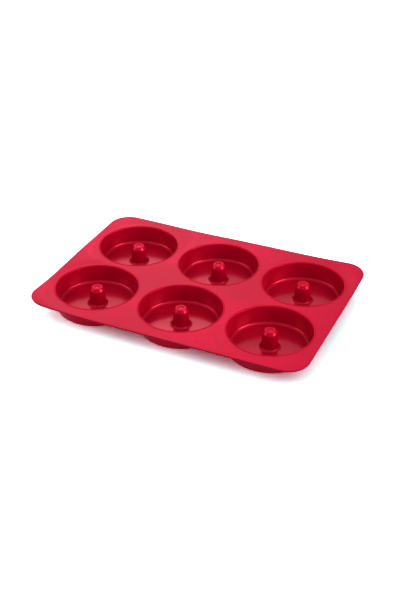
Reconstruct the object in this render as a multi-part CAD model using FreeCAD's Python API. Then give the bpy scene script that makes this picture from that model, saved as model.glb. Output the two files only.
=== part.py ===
"""A ring-cake mould: one tray of six round cups, each with a post that leaves the hole in the cake.

The tray stands on the undersides of its cups at Z = 0. +X runs along its long side, +Y from its
front to its back, and the origin is under its middle. All sizes are in millimetres.
"""
import FreeCAD, Part
import math
import os

# Tray
TRAY_LENGTH = 300.0
TRAY_WIDTH = 210.0
TRAY_HEIGHT = 21.5
CORNER_RADIUS = 22.5
DECK_THICKNESS = 1.5
DECK_EDGE_RADIUS = 0.5

# Cups, on a grid centred on the tray
COLUMN_PITCH = 96.4
ROW_PITCH = 94.5
WALL_THICKNESS = 1.8
FLOOR_THICKNESS = 1.8
MOUTH_RADIUS = 42.3
FLOOR_RADIUS = 41.0
RIM_ROUNDING = 1.4
LIP_HEIGHT = 0.4
LIP_WIDTH = 0.8
UNDER_RIM_ROUNDING = 0.4
INNER_FLOOR_ROUNDING = 4.2
OUTER_FLOOR_ROUNDING = 2.2

# Posts, level with the top of the deck
POST_TOP_RADIUS = 5.7
POST_SHOULDER_RADIUS = 7.7
POST_SHOULDER_DROP = 3.2
POST_BASE_RADIUS = 8.6
POST_TOP_ROUNDING = 0.8
POST_SHOULDER_ROUNDING = 3.0
POST_FOOT_ROUNDING = 3.2
POST_CAP_THICKNESS = 2.2
DIMPLE_RADIUS = 3.3
DIMPLE_DEPTH = 0.7

# The tray is one moulding. Its zones meet on these circles, where the wall is flat on both sides.
RIM_SEAM_RADIUS = 44.6
FOOT_SEAM_RADIUS = 12.4

FLOOR_TOP = FLOOR_THICKNESS
DECK_TOP = TRAY_HEIGHT
DECK_UNDERSIDE = TRAY_HEIGHT - DECK_THICKNESS

COLUMNS = {"left": -COLUMN_PITCH, "middle": 0.0, "right": COLUMN_PITCH}
ROWS = {"front": -ROW_PITCH / 2, "back": ROW_PITCH / 2}


def rounded_outline(corners):
    """A closed wire in the XZ plane through (x, z, rounding radius) corners."""
    edges = []
    runs = []
    for index, (x, z, radius) in enumerate(corners):
        corner = FreeCAD.Vector(x, 0, z)
        before = corners[index - 1]
        after = corners[(index + 1) % len(corners)]
        arriving = (FreeCAD.Vector(before[0], 0, before[1]) - corner).normalize()
        leaving = (FreeCAD.Vector(after[0], 0, after[1]) - corner).normalize()
        if radius == 0:
            runs.append((corner, corner))
            continue
        half_angle = arriving.getAngle(leaving) / 2
        setback = radius / math.tan(half_angle)
        start = corner + arriving * setback
        end = corner + leaving * setback
        bisector = (arriving + leaving).normalize()
        centre = corner + bisector * (radius / math.sin(half_angle))
        edges.append(Part.Arc(start, centre - bisector * radius, end).toShape())
        runs.append((start, end))
    for index, (start, _) in enumerate(runs):
        previous_end = runs[index - 1][1]
        if previous_end.distanceToPoint(start) > 1e-6:
            edges.append(Part.LineSegment(previous_end, start).toShape())
    return Part.Wire(Part.__sortEdges__(edges))


def turned(corners):
    """A solid turned about the Z axis from (radius, height, rounding radius) corners."""
    face = Part.Face(rounded_outline(corners))
    return face.revolve(FreeCAD.Vector(0, 0, 0), FreeCAD.Vector(0, 0, 1), 360)


def make_deck():
    """The flat sheet that joins the cups, with rounded corners and a softened edge."""
    corner = FreeCAD.Vector(-TRAY_LENGTH / 2, -TRAY_WIDTH / 2, DECK_UNDERSIDE)
    sheet = Part.makeBox(TRAY_LENGTH, TRAY_WIDTH, DECK_THICKNESS, corner)
    upright_edges = [edge for edge in sheet.Edges if edge.BoundBox.ZLength > DECK_THICKNESS / 2]
    sheet = sheet.makeFillet(CORNER_RADIUS, upright_edges)
    outline_edges = [edge for edge in sheet.Edges if edge.BoundBox.ZLength < DECK_THICKNESS / 2]
    sheet = sheet.makeFillet(DECK_EDGE_RADIUS, outline_edges)
    for x in COLUMNS.values():
        for y in ROWS.values():
            base = FreeCAD.Vector(x, y, 0)
            sheet = sheet.cut(Part.makeCylinder(RIM_SEAM_RADIUS, 2 * TRAY_HEIGHT, base))
    return sheet


def make_cup():
    """A round cup with a raised lip, an upright wall, a flat floor, and a hole where the post stands."""
    lip_top = DECK_TOP + LIP_HEIGHT
    return turned([
        (RIM_SEAM_RADIUS, DECK_TOP, 0),
        (RIM_SEAM_RADIUS - LIP_WIDTH / 2, DECK_TOP, LIP_WIDTH / 4),
        (RIM_SEAM_RADIUS - LIP_WIDTH, lip_top, LIP_WIDTH / 4),
        (MOUTH_RADIUS, lip_top, RIM_ROUNDING),
        (FLOOR_RADIUS, FLOOR_TOP, INNER_FLOOR_ROUNDING),
        (FOOT_SEAM_RADIUS, FLOOR_TOP, 0),
        (FOOT_SEAM_RADIUS, 0, 0),
        (FLOOR_RADIUS + WALL_THICKNESS, 0, OUTER_FLOOR_ROUNDING),
        (MOUTH_RADIUS + WALL_THICKNESS, DECK_UNDERSIDE, UNDER_RIM_ROUNDING),
        (RIM_SEAM_RADIUS, DECK_UNDERSIDE, 0),
    ])


def make_post():
    """A tapered post, hollow from beneath, with a dimple in its top and a rounded foot."""
    shoulder = DECK_TOP - POST_SHOULDER_DROP
    cap_underside = DECK_TOP - POST_CAP_THICKNESS
    hollow_shoulder = shoulder - POST_CAP_THICKNESS / 2
    return turned([
        (0, DECK_TOP - DIMPLE_DEPTH, 0),
        (DIMPLE_RADIUS - DIMPLE_DEPTH, DECK_TOP - DIMPLE_DEPTH, DIMPLE_DEPTH),
        (DIMPLE_RADIUS, DECK_TOP, DIMPLE_DEPTH / 2),
        (POST_TOP_RADIUS, DECK_TOP, POST_TOP_ROUNDING),
        (POST_SHOULDER_RADIUS, shoulder, POST_SHOULDER_ROUNDING),
        (POST_BASE_RADIUS, FLOOR_TOP, POST_FOOT_ROUNDING),
        (FOOT_SEAM_RADIUS, FLOOR_TOP, 0),
        (FOOT_SEAM_RADIUS, 0, 0),
        (POST_BASE_RADIUS - WALL_THICKNESS, 0, POST_FOOT_ROUNDING - WALL_THICKNESS),
        (POST_SHOULDER_RADIUS - WALL_THICKNESS, hollow_shoulder, WALL_THICKNESS),
        (POST_TOP_RADIUS - WALL_THICKNESS, cap_underside, WALL_THICKNESS / 2),
        (0, cap_underside, 0),
    ])


def save(node, shape):
    """Write one zone of the tray as parts/NODE.step, after testing that it is one closed solid."""
    if not shape.isValid() or len(shape.Solids) != 1:
        raise RuntimeError(node + " is not one valid solid")
    shape.Solids[0].exportStep("parts/" + node + ".step")
    print(node, "volume", round(shape.Volume / 1000, 2), "cm3")


os.makedirs("parts", exist_ok=True)
save("deck", make_deck())
for row_name, y in ROWS.items():
    for column_name, x in COLUMNS.items():
        place = FreeCAD.Vector(x, y, 0)
        save("cup_" + row_name + "_" + column_name, make_cup().translate(place))
        save("post_" + row_name + "_" + column_name, make_post().translate(place))
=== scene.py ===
"""Looks of a silicone ring-cake mould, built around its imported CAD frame.

Every piece is a mesh made here, one for each CAD zone: the deck, six cups and six posts. The deck also
takes the slight bend that the soft tray has when it stands. Sizes are in metres, and places come from
the frame's own boxes.
"""
import math

import bmesh
import bpy
from mathutils import Matrix, Vector


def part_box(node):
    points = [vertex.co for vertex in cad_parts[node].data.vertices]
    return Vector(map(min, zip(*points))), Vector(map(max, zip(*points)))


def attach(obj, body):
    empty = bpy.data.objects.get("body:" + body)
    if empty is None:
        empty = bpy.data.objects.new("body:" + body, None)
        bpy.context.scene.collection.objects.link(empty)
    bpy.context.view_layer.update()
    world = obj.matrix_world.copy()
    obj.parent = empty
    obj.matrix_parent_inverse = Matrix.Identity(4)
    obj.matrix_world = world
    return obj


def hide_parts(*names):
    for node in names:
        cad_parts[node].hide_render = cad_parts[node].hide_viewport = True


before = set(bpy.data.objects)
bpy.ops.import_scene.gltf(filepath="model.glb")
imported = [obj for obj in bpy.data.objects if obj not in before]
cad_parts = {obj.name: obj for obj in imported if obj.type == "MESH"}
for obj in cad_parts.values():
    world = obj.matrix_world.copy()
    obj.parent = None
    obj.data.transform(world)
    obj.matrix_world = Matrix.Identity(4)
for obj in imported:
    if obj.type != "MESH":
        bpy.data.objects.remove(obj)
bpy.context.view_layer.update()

MM = 0.001

# ---------------------------------------------------------------- places, from the frame
CELLS = [row + "_" + column for row in ("front", "back") for column in ("left", "middle", "right")]
DECK_LOW, DECK_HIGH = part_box("deck")
DECK_TOP = DECK_HIGH.z
DECK_UNDERSIDE = DECK_LOW.z
HALF_LENGTH = DECK_HIGH.x
HALF_WIDTH = DECK_HIGH.y


def centre_of(node):
    low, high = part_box(node)
    return Vector(((low.x + high.x) / 2, (low.y + high.y) / 2, 0))


CENTRES = {cell: centre_of("cup_" + cell) for cell in CELLS}
COLUMN_PITCH = CENTRES["front_right"].x
ROW_PITCH = 2 * CENTRES["back_middle"].y
RIM_SEAM = (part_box("cup_front_middle")[1].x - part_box("cup_front_middle")[0].x) / 2
FOOT_SEAM = (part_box("post_front_middle")[1].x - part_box("post_front_middle")[0].x) / 2

# ---------------------------------------------------------------- section sizes
CORNER_RADIUS = 22.5 * MM
DECK_EDGE_RADIUS = 0.5 * MM
FLOOR_TOP = 1.8 * MM
WALL = 1.8 * MM
MOUTH_RADIUS = 42.3 * MM
FLOOR_RADIUS = 41.0 * MM
RIM_ROUNDING = 1.4 * MM
LIP_HEIGHT = 0.4 * MM
LIP_WIDTH = 0.8 * MM
UNDER_RIM_ROUNDING = 0.4 * MM
INNER_FLOOR_ROUNDING = 4.2 * MM
OUTER_FLOOR_ROUNDING = 2.2 * MM
POST_TOP_RADIUS = 5.7 * MM
POST_SHOULDER_RADIUS = 7.7 * MM
POST_SHOULDER_DROP = 3.2 * MM
POST_BASE_RADIUS = 8.6 * MM
POST_TOP_ROUNDING = 0.8 * MM
POST_SHOULDER_ROUNDING = 3.0 * MM
POST_FOOT_ROUNDING = 3.2 * MM
POST_CAP = 2.2 * MM
DIMPLE_RADIUS = 3.3 * MM
DIMPLE_DEPTH = 0.7 * MM

# ---------------------------------------------------------------- fineness of the meshes
SPOKES_PER_SIDE = 32
DECK_RINGS = 10
EDGE_STEPS = 5
ARC_STEP = math.radians(9)
SHARP_ANGLE = math.radians(50)
WELD_DISTANCE = 1e-6
TINY = 1e-9
ON_OUTLINE = 1e-7


# ---------------------------------------------------------------- profiles
def rounded(corners):
    """Points of a closed (radius, height) outline whose corners carry a rounding radius."""
    points = []
    for index, (r, z, rounding) in enumerate(corners):
        corner = Vector((r, z))
        if rounding == 0:
            points.append(corner)
            continue
        before = corners[index - 1]
        after = corners[(index + 1) % len(corners)]
        arriving = (Vector(before[:2]) - corner).normalized()
        leaving = (Vector(after[:2]) - corner).normalized()
        half_angle = arriving.angle(leaving) / 2
        bisector = (arriving + leaving).normalized()
        centre = corner + bisector * (rounding / math.sin(half_angle))
        start = corner + arriving * (rounding / math.tan(half_angle)) - centre
        sweep = start.angle_signed(corner + leaving * (rounding / math.tan(half_angle)) - centre)
        steps = max(2, math.ceil(abs(sweep) / ARC_STEP))
        for step in range(steps + 1):
            points.append(centre + turned(start, -sweep * step / steps))
    return points


def turned(vector, angle):
    cosine, sine = math.cos(angle), math.sin(angle)
    return Vector((vector.x * cosine - vector.y * sine, vector.x * sine + vector.y * cosine))


CUP_PROFILE = rounded([
    (RIM_SEAM, DECK_TOP, 0),
    (RIM_SEAM - LIP_WIDTH / 2, DECK_TOP, LIP_WIDTH / 4),
    (RIM_SEAM - LIP_WIDTH, DECK_TOP + LIP_HEIGHT, LIP_WIDTH / 4),
    (MOUTH_RADIUS, DECK_TOP + LIP_HEIGHT, RIM_ROUNDING),
    (FLOOR_RADIUS, FLOOR_TOP, INNER_FLOOR_ROUNDING),
    (FOOT_SEAM, FLOOR_TOP, 0),
    (FOOT_SEAM, 0, 0),
    (FLOOR_RADIUS + WALL, 0, OUTER_FLOOR_ROUNDING),
    (MOUTH_RADIUS + WALL, DECK_UNDERSIDE, UNDER_RIM_ROUNDING),
    (RIM_SEAM, DECK_UNDERSIDE, 0),
])
POST_PROFILE = rounded([
    (0, DECK_TOP - DIMPLE_DEPTH, 0),
    (DIMPLE_RADIUS - DIMPLE_DEPTH, DECK_TOP - DIMPLE_DEPTH, DIMPLE_DEPTH),
    (DIMPLE_RADIUS, DECK_TOP, DIMPLE_DEPTH / 2),
    (POST_TOP_RADIUS, DECK_TOP, POST_TOP_ROUNDING),
    (POST_SHOULDER_RADIUS, DECK_TOP - POST_SHOULDER_DROP, POST_SHOULDER_ROUNDING),
    (POST_BASE_RADIUS, FLOOR_TOP, POST_FOOT_ROUNDING),
    (FOOT_SEAM, FLOOR_TOP, 0),
    (FOOT_SEAM, 0, 0),
    (POST_BASE_RADIUS - WALL, 0, POST_FOOT_ROUNDING - WALL),
    (POST_SHOULDER_RADIUS - WALL, DECK_TOP - POST_SHOULDER_DROP - POST_CAP / 2, WALL),
    (POST_TOP_RADIUS - WALL, DECK_TOP - POST_CAP, WALL / 2),
    (0, DECK_TOP - POST_CAP, 0),
])


# ---------------------------------------------------------------- cells and their spokes
def cell_limits(centre):
    """How far a cup's share of the deck reaches from its axis: to the left, right, front and back."""
    limits = []
    for sign, half, pitch, place in (
        (-1, HALF_LENGTH, COLUMN_PITCH, centre.x),
        (1, HALF_LENGTH, COLUMN_PITCH, centre.x),
        (-1, HALF_WIDTH, ROW_PITCH, centre.y),
        (1, HALF_WIDTH, ROW_PITCH, centre.y),
    ):
        to_edge = half - sign * place
        limits.append(to_edge if to_edge < pitch else pitch / 2)
    return limits


def spokes_of(centre):
    """Directions from a cup's axis, through every corner of its cell and evenly in between."""
    left, right, front, back = cell_limits(centre)
    corners = [
        math.atan2(-front, right),
        math.atan2(back, right),
        math.atan2(back, -left),
        math.atan2(-front, -left) + 2 * math.pi,
    ]
    angles = []
    for index, start in enumerate(corners):
        stop = corners[index + 1] if index < 3 else corners[0] + 2 * math.pi
        angles += [start + (stop - start) * step / SPOKES_PER_SIDE for step in range(SPOKES_PER_SIDE)]
    return angles


def spoke_end(centre, angle):
    """Where a spoke leaves its cell, and the outline's outward normal there, or None on a shared line."""
    left, right, front, back = cell_limits(centre)
    along = Vector((math.cos(angle), math.sin(angle), 0))
    reach_x = (right if along.x > 0 else left) / max(abs(along.x), TINY)
    reach_y = (back if along.y > 0 else front) / max(abs(along.y), TINY)
    end = centre + along * min(reach_x, reach_y)
    on_short_side = abs(end.x) > HALF_LENGTH - ON_OUTLINE
    on_long_side = abs(end.y) > HALF_WIDTH - ON_OUTLINE
    if not on_short_side and not on_long_side:
        return end, None
    inner = Vector((
        math.copysign(HALF_LENGTH - CORNER_RADIUS, end.x),
        math.copysign(HALF_WIDTH - CORNER_RADIUS, end.y),
        0,
    ))
    if abs(end.x) > abs(inner.x) and abs(end.y) > abs(inner.y):
        offset = centre - inner
        half_b = offset.dot(along)
        reach = -half_b + math.sqrt(half_b * half_b - offset.length_squared + CORNER_RADIUS ** 2)
        end = centre + along * reach
        return end, (end - inner).normalized()
    if on_short_side:
        return end, Vector((math.copysign(1, end.x), 0, 0))
    return end, Vector((0, math.copysign(1, end.y), 0))


# ---------------------------------------------------------------- how the soft deck has relaxed
BENDS = [
    # centre x as a share of half the length, centre y as a share of half the width, rise, and spread as a
    # share of half the length
    (-1.0, -1.0, 3.2 * MM, 0.30),
    (1.0, 1.0, 2.0 * MM, 0.30),
    (-1.0, 0.1, 1.0 * MM, 0.35),
    (-0.32, 1.0, -1.0 * MM, 0.30),
]
STIFF_RIM = 14 * MM


def relaxed(point, centre):
    """A deck point moved up or down as the tray has bent, and not at all at the rim of its cup."""
    free = min(1.0, max(0.0, ((point - centre).xy.length - RIM_SEAM) / STIFF_RIM))
    rise = 0.0
    for x, y, height, spread in BENDS:
        away_x = (point.x - x * HALF_LENGTH) / (spread * HALF_LENGTH)
        away_y = (point.y - y * HALF_WIDTH) / (spread * HALF_LENGTH)
        rise += height * math.exp(-(away_x ** 2 + away_y ** 2))
    return point + Vector((0, 0, rise * free * free * (3 - 2 * free)))


# ---------------------------------------------------------------- meshes
def make_object(name, points, faces):
    """A smooth object from points and faces, with its doubled points welded."""
    mesh = bpy.data.meshes.new(name)
    mesh.from_pydata([tuple(p) for p in points], [], faces)
    piece = bpy.data.objects.new(name, mesh)
    bpy.context.scene.collection.objects.link(piece)
    work = bmesh.new()
    work.from_mesh(mesh)
    bmesh.ops.remove_doubles(work, verts=work.verts, dist=WELD_DISTANCE)
    bmesh.ops.recalc_face_normals(work, faces=work.faces)
    work.to_mesh(mesh)
    work.free()
    mesh.shade_smooth()
    mesh.set_sharp_from_angle(angle=SHARP_ANGLE)
    return piece


def revolved(name, profile, centre):
    """A closed solid turned about a cup's axis, with one meridian on each spoke of its cell."""
    angles = spokes_of(centre)
    points = []
    for angle in angles:
        along = Vector((math.cos(angle), math.sin(angle), 0))
        points += [centre + along * r + Vector((0, 0, z)) for r, z in profile]
    count = len(profile)
    faces = []
    for spoke in range(len(angles)):
        here = spoke * count
        there = (spoke + 1) % len(angles) * count
        for k in range(count):
            after = (k + 1) % count
            on_axis = profile[k][0] < TINY and profile[after][0] < TINY
            if on_axis:
                continue
            faces.append((here + k, here + after, there + after, there + k))
    return make_object(name, points, faces)


def edge_rows():
    """(inset, height) down the softened edge of the deck, from its top to its underside."""
    r = DECK_EDGE_RADIUS
    rows = []
    for step in range(EDGE_STEPS + 1):
        turn = math.pi / 2 * step / EDGE_STEPS
        rows.append((r * (1 - math.sin(turn)), DECK_TOP - r * (1 - math.cos(turn))))
    return rows + [(inset, DECK_TOP + DECK_UNDERSIDE - z) for inset, z in reversed(rows)]


def make_deck():
    """The sheet between the cups: for each cell, rings from the cup's seam out to the cell's limits."""
    points = []
    faces = []
    rows = edge_rows()
    for cell in CELLS:
        centre = CENTRES[cell]
        angles = spokes_of(centre)
        columns = []
        for angle in angles:
            end, normal = spoke_end(centre, angle)
            near = centre + Vector((math.cos(angle), math.sin(angle), 0)) * RIM_SEAM
            far = end - normal * DECK_EDGE_RADIUS if normal else end
            top = [near.lerp(far, k / DECK_RINGS) for k in range(DECK_RINGS + 1)]
            first = len(points)
            points += [p + Vector((0, 0, DECK_TOP)) for p in top]
            if normal:
                points += [end - normal * inset + Vector((0, 0, z)) for inset, z in rows]
            split = len(points)
            points += [p + Vector((0, 0, DECK_UNDERSIDE)) for p in reversed(top)]
            points[first:] = [relaxed(p, centre) for p in points[first:]]
            columns.append((first, split, len(points), normal is not None))
        for index, here in enumerate(columns):
            there = columns[(index + 1) % len(columns)]
            on_outline = here[3] and there[3] and same_side(centre, angles, index)
            for k in range(DECK_RINGS):
                faces.append((here[0] + k, here[0] + k + 1, there[0] + k + 1, there[0] + k))
                faces.append((here[1] + k, here[1] + k + 1, there[1] + k + 1, there[1] + k))
            faces.append((here[2] - 1, here[0], there[0], there[2] - 1))
            if on_outline:
                for k in range(len(rows) - 1):
                    a = here[0] + DECK_RINGS + 1 + k
                    b = there[0] + DECK_RINGS + 1 + k
                    faces.append((a, a + 1, b + 1, b))
    return make_object("deck_sheet", points, faces)


def same_side(centre, angles, index):
    """Whether the stretch after a spoke runs along the tray's outline and not along a shared line."""
    start = angles[index]
    stop = angles[index + 1] if index + 1 < len(angles) else angles[0] + 2 * math.pi
    return spoke_end(centre, (start + stop) / 2)[1] is not None


# ---------------------------------------------------------------- materials
RED = (0.45, 0.0004, 0.036)
PALE_RED = (0.57, 0.003, 0.07)
SILICONE_IOR = 1.41
GLOSS_ROUGHNESS = 0.13
# how far the painted shade on the deck's upright cut edge darkens its colour
EDGE_PAINTED_SHADE = 0.35
MOTTLE_SCALE = 45
PATCH_SCALE = 14
STREAK_SCALE = 28
STREAK_STRETCH = 16.0
GRAIN_SCALE = 900
GRAIN_DEPTH = 0.03
RELIEF_STRENGTH = 0.25
RELIEF_DEPTH = 0.2 * MM
# the range of noise values that is stretched to run from none to full
STREAK_CONTRAST = (0.35, 0.65)
PATCH_CONTRAST = (0.4, 0.65)
MOTTLE_CONTRAST = (0.3, 0.7)
MOTTLE_TONE = 0.6
ROUGHNESS_UNEVENNESS = 0.02
# how much less pearl shows between the flow lines, and how much more in them
PEARL_LOSS = 0.05
PEARL_GAIN = 0.3
SATIN_SPECULAR = 0.4
GLOSS_SPECULAR = 0.1
# the clear gloss inside a cup, and how it fades over the last stretch up to the deck
COAT_IN_CUP = 0.5
COAT_AT_RIM = 0.1
COAT_FADE = 3 * MM
# upward parts of the normal at which a face takes the full painted shade of the upright cut edge, or none as
# the level sheet
UPRIGHT = 0.1
LEVEL = 0.8


class Shading:
    """The node tree of a new material, with short ways to add to it."""

    def __init__(self, name):
        self.material = bpy.data.materials.new(name)
        self.material.use_nodes = True
        self.tree = self.material.node_tree
        self.skin = self.tree.nodes["Principled BSDF"]
        self.place = self.add("ShaderNodeTexCoord").outputs["Object"]

    def add(self, kind, settings=None, **inputs):
        """A node with its settings, and its inputs by name or by number, as input_0 and so on."""
        node = self.tree.nodes.new(kind)
        for name, value in (settings or {}).items():
            setattr(node, name, value)
        for name, value in inputs.items():
            key = int(name[6:]) if name.startswith("input_") else name.replace("_", " ")
            self.join(value, node.inputs[key])
        return node

    def join(self, value, socket):
        if isinstance(value, bpy.types.NodeSocket):
            self.tree.links.new(value, socket)
        else:
            socket.default_value = value

    def calc(self, operation, *values):
        """The result of a Math node, from numbers or from other nodes' results."""
        inputs = {"input_" + str(k): value for k, value in enumerate(values)}
        return self.add("ShaderNodeMath", {"operation": operation}, **inputs).outputs[0]

    def noise(self, vector, scale, detail):
        return self.add("ShaderNodeTexNoise", Vector=vector, Scale=scale, Detail=detail).outputs["Fac"]

    def spread(self, value, low, high, to_low, to_high):
        """A value taken from one range to another, and held there."""
        inputs = {"From_Min": low, "From_Max": high, "To_Min": to_low, "To_Max": to_high}
        return self.add("ShaderNodeMapRange", Value=value, **inputs).outputs["Result"]


def flow_lines(shading):
    """Streaks that run round the cups, as the rubber flowed about them in its tool."""
    axes = shading.add("ShaderNodeSeparateXYZ", Vector=shading.place).outputs
    across = shading.calc("WRAP", axes["X"], COLUMN_PITCH / 2, -COLUMN_PITCH / 2)
    from_row = shading.calc("SUBTRACT", axes["Y"], ROW_PITCH / 2)
    along = shading.calc("WRAP", from_row, ROW_PITCH / 2, -ROW_PITCH / 2)
    squares = shading.calc("ADD", shading.calc("POWER", across, 2.0), shading.calc("POWER", along, 2.0))
    reach = shading.calc("MULTIPLY", shading.calc("SQRT", squares), STREAK_STRETCH)
    stretched = shading.add("ShaderNodeCombineXYZ", X=axes["X"], Y=axes["Y"], Z=reach)
    return shading.noise(stretched.outputs[0], STREAK_SCALE, 2)


def cut_edge(shading, colour):
    """The sheet's colour with painted shade on its upright cut edge, darker where the face turns sideways.
    """
    normal = shading.add("ShaderNodeNewGeometry").outputs["Normal"]
    upward = shading.calc("ABSOLUTE", shading.add("ShaderNodeSeparateXYZ", Vector=normal).outputs["Z"])
    edge_shade_factor = shading.spread(upward, UPRIGHT, LEVEL, EDGE_PAINTED_SHADE, 1)
    product = {"data_type": "RGBA", "blend_type": "MULTIPLY"}
    return shading.add("ShaderNodeMix", product, input_0=1.0, input_6=colour, input_7=edge_shade_factor).outputs[2]


def pearl_silicone(name, streak_depth, pearl, body_roughness, polished):
    """Moulded silicone with pearl pigment: satin where the tool was blasted, gloss where it was polished."""
    shading = Shading(name)
    skin = shading.skin.inputs
    mottle = shading.noise(shading.place, MOTTLE_SCALE, 3)
    streaks = shading.spread(flow_lines(shading), *STREAK_CONTRAST, 0, 1)
    patches = shading.spread(shading.noise(shading.place, PATCH_SCALE, 1), *PATCH_CONTRAST, 0, 1)
    marks = shading.calc("MULTIPLY", streaks, patches)
    streak_height = shading.calc("MULTIPLY", marks, streak_depth)
    tone = shading.calc("ADD", shading.calc("MULTIPLY", mottle, MOTTLE_TONE), streak_height)
    mix = shading.add("ShaderNodeMix", {"data_type": "RGBA"}, input_0=tone)
    mix.inputs[6].default_value = (*RED, 1)
    mix.inputs[7].default_value = (*PALE_RED, 1)
    # the satin sheet's colour takes painted shade on its upright cut edge
    colour = mix.outputs[2] if polished else cut_edge(shading, mix.outputs[2])
    unevenness = shading.spread(mottle, *MOTTLE_CONTRAST, -ROUGHNESS_UNEVENNESS, ROUGHNESS_UNEVENNESS)
    shading.join(colour, skin["Base Color"])
    shading.join(shading.calc("ADD", body_roughness, unevenness), skin["Roughness"])
    shading.join(SILICONE_IOR, skin["IOR"])
    if polished:
        height = shading.add("ShaderNodeSeparateXYZ", Vector=shading.place).outputs["Z"]
        gloss = shading.spread(height, DECK_TOP - COAT_FADE, DECK_TOP, COAT_IN_CUP, COAT_AT_RIM)
        shading.join(pearl, skin["Metallic"])
        shading.join(gloss, skin["Coat Weight"])
        shading.join(GLOSS_ROUGHNESS, skin["Coat Roughness"])
        shading.join(SILICONE_IOR, skin["Coat IOR"])
        shading.join(GLOSS_SPECULAR, skin["Specular IOR Level"])
    else:
        flakes = shading.spread(marks, 0, 1, pearl - PEARL_LOSS, pearl + PEARL_GAIN)
        shading.join(flakes, skin["Metallic"])
        shading.join(SATIN_SPECULAR, skin["Specular IOR Level"])
    grain = shading.calc("MULTIPLY", shading.noise(shading.place, GRAIN_SCALE, 2), GRAIN_DEPTH)
    relief = shading.calc("ADD", grain, streak_height)
    bump = shading.add("ShaderNodeBump", Height=relief, Strength=RELIEF_STRENGTH, Distance=RELIEF_DEPTH)
    shading.join(bump.outputs["Normal"], skin["Normal"])
    return shading.material


deck_material = pearl_silicone(
    "silicone_satin", streak_depth=0.8, pearl=0.15, body_roughness=0.4, polished=False
)
cup_material = pearl_silicone(
    "silicone_gloss", streak_depth=0.0, pearl=0.25, body_roughness=0.31, polished=True
)

# ---------------------------------------------------------------- pieces
deck = make_deck()
deck.data.materials.append(deck_material)
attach(deck, "root")
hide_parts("deck")
pieces = [deck]
for cell in CELLS:
    for kind, profile in (("cup", CUP_PROFILE), ("post", POST_PROFILE)):
        piece = revolved(kind + "_wall_" + cell, profile, CENTRES[cell])
        piece.data.materials.append(cup_material)
        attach(piece, "root")
        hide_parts(kind + "_" + cell)
        pieces.append(piece)

# ---------------------------------------------------------------- floor, light and camera
CAMERA_PLACE = Vector((0.3914, -0.8585, 0.6087))
CAMERA_AZIMUTH_DEG = 24.5
CAMERA_ELEVATION_DEG = 32.72
# the lens and the sensor are in Blender's own millimetres
CAMERA_LENS = 63.94
SENSOR_WIDTH = 36
NEAR_CLIP = 10 * MM
LIGHT_DISTANCE = 1.6
PRINT_CONTRAST = 1.45
FLOOR_HALF = 4.0
FLOOR_CORNERS = ((-1, -1), (1, -1), (1, 1), (-1, 1))
OVEREXPOSED_FLOOR = (1.37, 1.87, 1.87)
AMBIENT = 0.7
SOFTBOXES = [
    # name, azimuth from the camera's, elevation, width and height, all in degrees, and power in watts
    ("front", 0, 56, 70, 30, 3.5),
    ("front_left", -60, 48, 36, 26, 2.2),
    ("front_right", 50, 46, 36, 26, 3),
    ("left", -88, 24, 34, 20, 7),
    ("back", 175, 32, 18, 26, 1.4),
    ("back_left", -168, 33, 22, 24, 2.8),
    ("key", 70, 24, 34, 20, 14.5),
]


def facing(azimuth, elevation):
    """A rotation whose -Z looks down at the tray from that side."""
    back = Vector((
        math.sin(azimuth) * math.cos(elevation),
        -math.cos(azimuth) * math.cos(elevation),
        math.sin(elevation),
    ))
    right = Vector((math.cos(azimuth), math.sin(azimuth), 0))
    return Matrix((right, back.cross(right), back)).transposed().to_4x4(), back


def softbox(name, azimuth, elevation, width, height, power):
    """A studio light that looks at the tray; all its measures are degrees, seen from the tray."""
    light = bpy.data.lights.new(name, "AREA")
    light.shape = "RECTANGLE"
    light.size = 2 * LIGHT_DISTANCE * math.tan(math.radians(width / 2))
    light.size_y = 2 * LIGHT_DISTANCE * math.tan(math.radians(height / 2))
    light.energy = power
    lamp = bpy.data.objects.new(name, light)
    bpy.context.scene.collection.objects.link(lamp)
    turn, back = facing(math.radians(azimuth), math.radians(elevation))
    lamp.matrix_world = Matrix.Translation(back * LIGHT_DISTANCE) @ turn
    lamp.visible_camera = False
    return lamp


camera = bpy.data.objects.new("camera", bpy.data.cameras.new("camera"))
camera.data.sensor_width = SENSOR_WIDTH
camera.data.lens = CAMERA_LENS
camera.data.clip_start = NEAR_CLIP
camera.matrix_world = Matrix.Translation(CAMERA_PLACE) @ facing(
    math.radians(CAMERA_AZIMUTH_DEG), math.radians(CAMERA_ELEVATION_DEG)
)[0]
bpy.context.scene.collection.objects.link(camera)
bpy.context.scene.camera = camera

floor_mesh = bpy.data.meshes.new("studio_floor")
floor_mesh.from_pydata([(x * FLOOR_HALF, y * FLOOR_HALF, 0) for x, y in FLOOR_CORNERS], [], [(0, 1, 2, 3)])
floor = bpy.data.objects.new("studio_floor", floor_mesh)
bpy.context.scene.collection.objects.link(floor)
# The floor is overexposed and sends no light back, so the tray's shadow stays narrow and nearly grey.
floor_material = bpy.data.materials.new("studio_floor")
floor_material.use_nodes = True
floor_shader = floor_material.node_tree.nodes["Principled BSDF"]
floor_shader.inputs["Base Color"].default_value = (*OVEREXPOSED_FLOOR, 1)
floor_shader.inputs["Roughness"].default_value = 1.0
floor.data.materials.append(floor_material)
floor.visible_diffuse = False

world = bpy.data.worlds.new("studio")
world.use_nodes = True
background = world.node_tree.nodes["Background"]
background.inputs["Color"].default_value = (1, 1, 1, 1)
background.inputs["Strength"].default_value = AMBIENT
bpy.context.scene.world = world
bpy.context.scene.view_settings.view_transform = "Standard"
bpy.context.scene.view_settings.gamma = 1 / PRINT_CONTRAST

lamps = {}
for name, azimuth, elevation, width, height, power in SOFTBOXES:
    lamps[name] = softbox(name, CAMERA_AZIMUTH_DEG + azimuth, elevation, width, height, power)

# The low key light falls on the tray alone, so it doesn't wash out the shadow on the floor.
tray = bpy.data.collections.new("tray")
for piece in pieces:
    tray.objects.link(piece)
lamps["key"].light_linking.receiver_collection = tray
